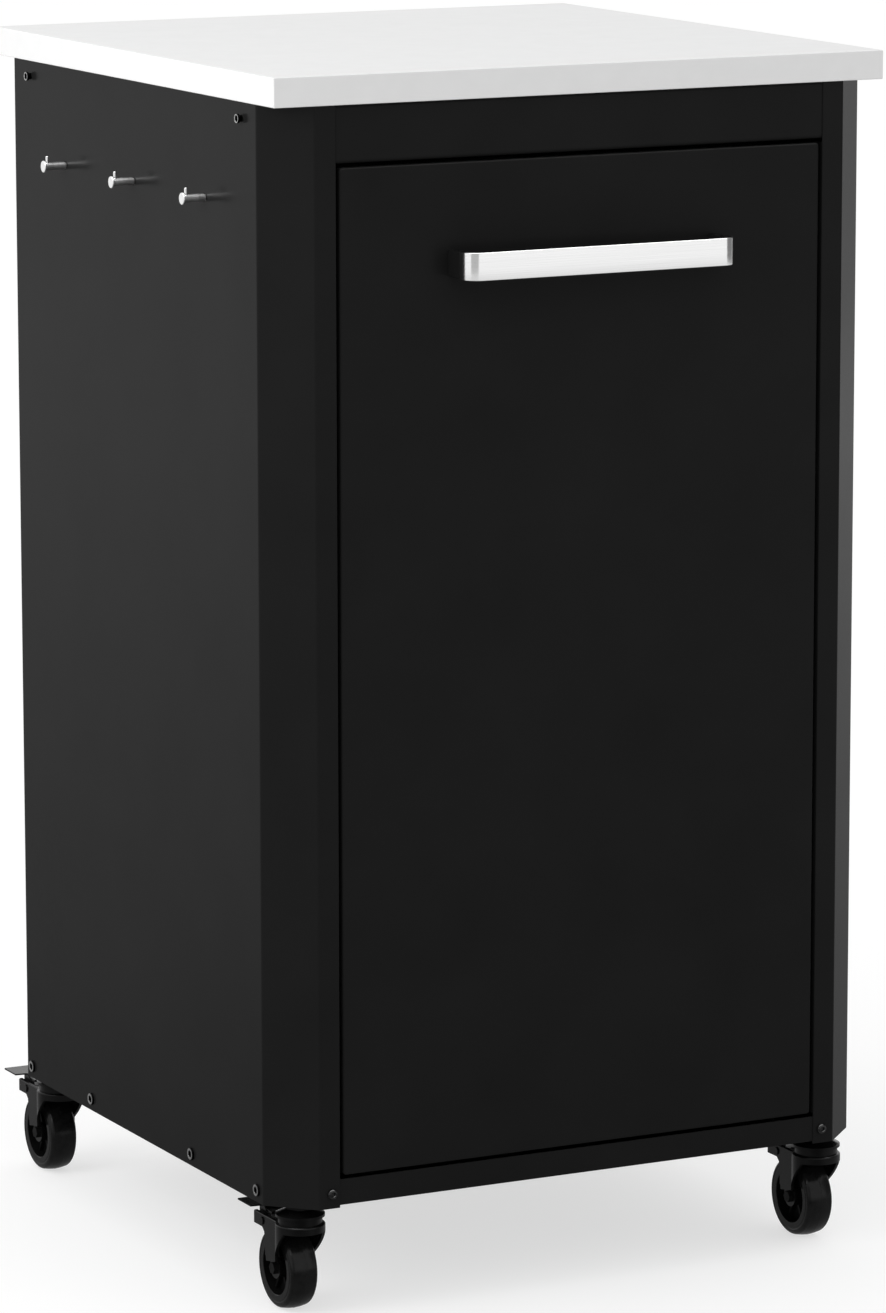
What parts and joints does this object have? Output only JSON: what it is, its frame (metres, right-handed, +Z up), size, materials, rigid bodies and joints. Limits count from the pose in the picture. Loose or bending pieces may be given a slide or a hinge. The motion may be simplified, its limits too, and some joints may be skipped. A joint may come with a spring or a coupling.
{
  "type": "outdoor kitchen unit",
  "caption": "Freestanding black sheet-metal kitchen cabinet on braked swivel casters, with a pale worktop, a tall pull-out front with a bar handle, and side hooks for tools.",
  "frame": {"origin": "on the floor, under the middle of the worktop", "axes": "+X to the right facing the front, front faces -Y, +Z up"},
  "size_m": [0.5187, 0.5693, 0.916],
  "materials": {
    "black_powder_coat": "satin black powder coat on sheet steel",
    "worktop_laminate": "white compact laminate, fine satin",
    "brushed_stainless": "brushed stainless steel",
    "black_fastener": "black oxide screws",
    "zinc_plate": "bright zinc plate",
    "black_caster_steel": "black coated stamped steel",
    "wheel_plastic": "black moulded nylon",
    "tyre_rubber": "black rubber tread"
  },
  "bodies": {
    "cabinet": {"side_panel_left": "black_powder_coat", "side_panel_right": "black_powder_coat", "back_panel": "black_powder_coat", "base_pan": "black_powder_coat", "top_front_rail": "black_powder_coat", "top_rear_rail": "black_powder_coat", "worktop": "worktop_laminate", "runner_bracket_left": "black_powder_coat", "runner_bracket_right": "black_powder_coat", "runner_outer_left": "zinc_plate", "runner_outer_right": "zinc_plate", "tool_hook_front": "brushed_stainless", "tool_hook_middle": "brushed_stainless", "tool_hook_rear": "brushed_stainless", "hook_nuts": "zinc_plate", "side_screws": "black_fastener", "flange_screws": "black_fastener", "back_screws": "black_fastener", "worktop_screws": "zinc_plate", "bracket_rivets": "zinc_plate", "runner_screws": "zinc_plate", "stem_nuts": "zinc_plate", "caster_stem_fl": "black_caster_steel", "caster_stem_fr": "black_caster_steel", "caster_stem_rl": "black_caster_steel", "caster_stem_rr": "black_caster_steel"},
    "drawer": {"front_panel": "black_powder_coat", "front_inner_panel": "black_powder_coat", "handle_bar": "black_powder_coat", "handle_cover": "brushed_stainless", "handle_screws": "zinc_plate", "drawer_tray": "black_powder_coat", "tray_bracket_left": "black_powder_coat", "tray_bracket_right": "black_powder_coat", "runner_inner_left": "zinc_plate", "runner_inner_right": "zinc_plate", "tray_screws": "zinc_plate"},
    "runner_mids": {"runner_middle_left": "zinc_plate", "runner_middle_right": "zinc_plate"},
    "swivel_fl": {"caster_fork_fl": "black_caster_steel", "caster_axle_fl": "black_caster_steel"},
    "wheel_fl": {"wheel_core_fl": "wheel_plastic", "tyre_fl": "tyre_rubber"},
    "brake_fl": {"brake_pedal_fl": "black_caster_steel"},
    "swivel_fr": {"caster_fork_fr": "black_caster_steel", "caster_axle_fr": "black_caster_steel"},
    "wheel_fr": {"wheel_core_fr": "wheel_plastic", "tyre_fr": "tyre_rubber"},
    "brake_fr": {"brake_pedal_fr": "black_caster_steel"},
    "swivel_rl": {"caster_fork_rl": "black_caster_steel", "caster_axle_rl": "black_caster_steel"},
    "wheel_rl": {"wheel_core_rl": "wheel_plastic", "tyre_rl": "tyre_rubber"},
    "brake_rl": {"brake_pedal_rl": "black_caster_steel"},
    "swivel_rr": {"caster_fork_rr": "black_caster_steel", "caster_axle_rr": "black_caster_steel"},
    "wheel_rr": {"wheel_core_rr": "wheel_plastic", "tyre_rr": "tyre_rubber"},
    "brake_rr": {"brake_pedal_rr": "black_caster_steel"}
  },
  "joints": [
    {"name": "drawer_slide", "type": "slide", "parent": "cabinet", "child": "drawer", "axis": [0, -1, 0], "range_m": [0, 0.4]},
    {"name": "runner_mid_slide", "type": "slide", "parent": "cabinet", "child": "runner_mids", "axis": [0, -1, 0], "range_m": [0, 0.2]},
    {"name": "swivel_fl_turn", "type": "hinge", "parent": "cabinet", "child": "swivel_fl", "pos_m": [-0.2194, -0.2218, 0.07], "axis": [0, 0, 1], "continuous": true},
    {"name": "wheel_fl_roll", "type": "hinge", "parent": "swivel_fl", "child": "wheel_fl", "pos_m": [-0.2194, -0.2008, 0.031], "axis": [1, 0, 0], "continuous": true},
    {"name": "brake_fl_press", "type": "hinge", "parent": "swivel_fl", "child": "brake_fl", "pos_m": [-0.2194, -0.1878, 0.0645], "axis": [1, 0, 0], "range_deg": [-12, 0]},
    {"name": "swivel_fr_turn", "type": "hinge", "parent": "cabinet", "child": "swivel_fr", "pos_m": [0.2194, -0.2218, 0.07], "axis": [0, 0, 1], "continuous": true},
    {"name": "wheel_fr_roll", "type": "hinge", "parent": "swivel_fr", "child": "wheel_fr", "pos_m": [0.2194, -0.2008, 0.031], "axis": [1, 0, 0], "continuous": true},
    {"name": "brake_fr_press", "type": "hinge", "parent": "swivel_fr", "child": "brake_fr", "pos_m": [0.2194, -0.1878, 0.0645], "axis": [1, 0, 0], "range_deg": [-12, 0]},
    {"name": "swivel_rl_turn", "type": "hinge", "parent": "cabinet", "child": "swivel_rl", "pos_m": [-0.2194, 0.2218, 0.07], "axis": [0, 0, 1], "continuous": true},
    {"name": "wheel_rl_roll", "type": "hinge", "parent": "swivel_rl", "child": "wheel_rl", "pos_m": [-0.2194, 0.2428, 0.031], "axis": [1, 0, 0], "continuous": true},
    {"name": "brake_rl_press", "type": "hinge", "parent": "swivel_rl", "child": "brake_rl", "pos_m": [-0.2194, 0.2558, 0.0645], "axis": [1, 0, 0], "range_deg": [-12, 0]},
    {"name": "swivel_rr_turn", "type": "hinge", "parent": "cabinet", "child": "swivel_rr", "pos_m": [0.2194, 0.2218, 0.07], "axis": [0, 0, 1], "continuous": true},
    {"name": "wheel_rr_roll", "type": "hinge", "parent": "swivel_rr", "child": "wheel_rr", "pos_m": [0.2194, 0.2428, 0.031], "axis": [1, 0, 0], "continuous": true},
    {"name": "brake_rr_press", "type": "hinge", "parent": "swivel_rr", "child": "brake_rr", "pos_m": [0.2194, 0.2558, 0.0645], "axis": [1, 0, 0], "range_deg": [-12, 0]}
  ],
  "couplings": [
    {"joint": "runner_mid_slide", "follows": "drawer_slide", "ratio": 0.5}
  ]
}
